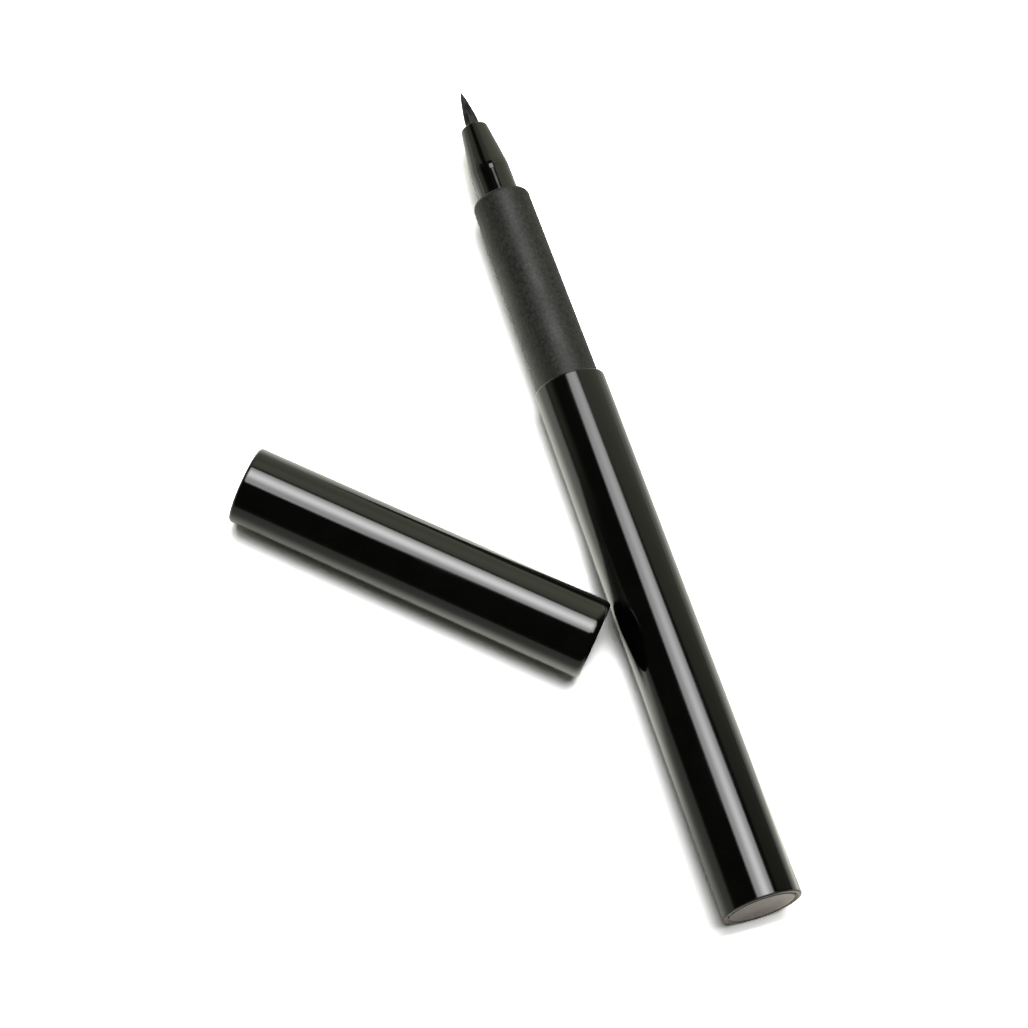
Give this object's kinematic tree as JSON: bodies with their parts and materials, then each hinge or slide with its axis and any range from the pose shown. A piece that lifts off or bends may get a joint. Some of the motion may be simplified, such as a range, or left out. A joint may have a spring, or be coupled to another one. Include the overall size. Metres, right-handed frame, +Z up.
{
  "type": "liquid eyeliner pen",
  "caption": "Slim gloss black liquid eyeliner pen with a matt tapered grip and a pointed brush tip, uncapped, its round cap lying beside the barrel.",
  "frame": {"origin": "centre of the pen's flat tail face, on the pen's axis", "axes": "+X along the pen's axis from the tail to the brush tip, +Z up from the table that pen and cap lie on, +Y towards the side where the cap lies"},
  "size_m": [0.132, 0.0587, 0.0116],
  "materials": {
    "gloss_black": "high gloss, injection moulded",
    "plug_black": "smooth satin gloss",
    "grip_black": "fine matt",
    "tank_clear": "translucent polypropylene",
    "steel_ball": "polished stainless steel",
    "collector_white": "smooth moulding",
    "seal_rubber": "soft rubber",
    "wick_fibre": "bonded fibre rod",
    "ferrule_steel": "drawn stainless steel",
    "brush_fibre": "fine synthetic filaments stained by the ink",
    "collar_black": "smooth moulding",
    "inner_white": "natural polyethylene",
    "spring_steel": "drawn spring wire"
  },
  "bodies": {
    "pen": {"barrel": "gloss_black", "tail_plug": "plug_black", "ink_tank": "tank_clear", "collector": "collector_white", "tank_seal": "seal_rubber", "feed_wick": "wick_fibre", "grip": "grip_black", "nose_cone": "gloss_black", "brush_ferrule": "ferrule_steel", "brush": "brush_fibre"},
    "ball": {"mixing_ball": "steel_ball"},
    "cap": {"cap_shell": "gloss_black", "cap_collar": "collar_black", "cap_spring": "spring_steel"},
    "sprung_cap": {"inner_cap": "inner_white"}
  },
  "joints": [
    {"name": "cap_pull", "type": "slide", "parent": "pen", "child": "cap", "axis": [0.6561, 0.7547, 0], "range_m": [0, 0.052]},
    {"name": "inner_cap_press", "type": "slide", "parent": "cap", "child": "sprung_cap", "axis": [0.6561, 0.7547, 0], "range_m": [0, 0.0012], "stiffness_N_per_m": 300, "deforming": ["cap_spring"]},
    {"name": "ball_roll", "type": "slide", "parent": "pen", "child": "ball", "axis": [1, 0, 0], "range_m": [-0.0019, 0.0482]}
  ]
}
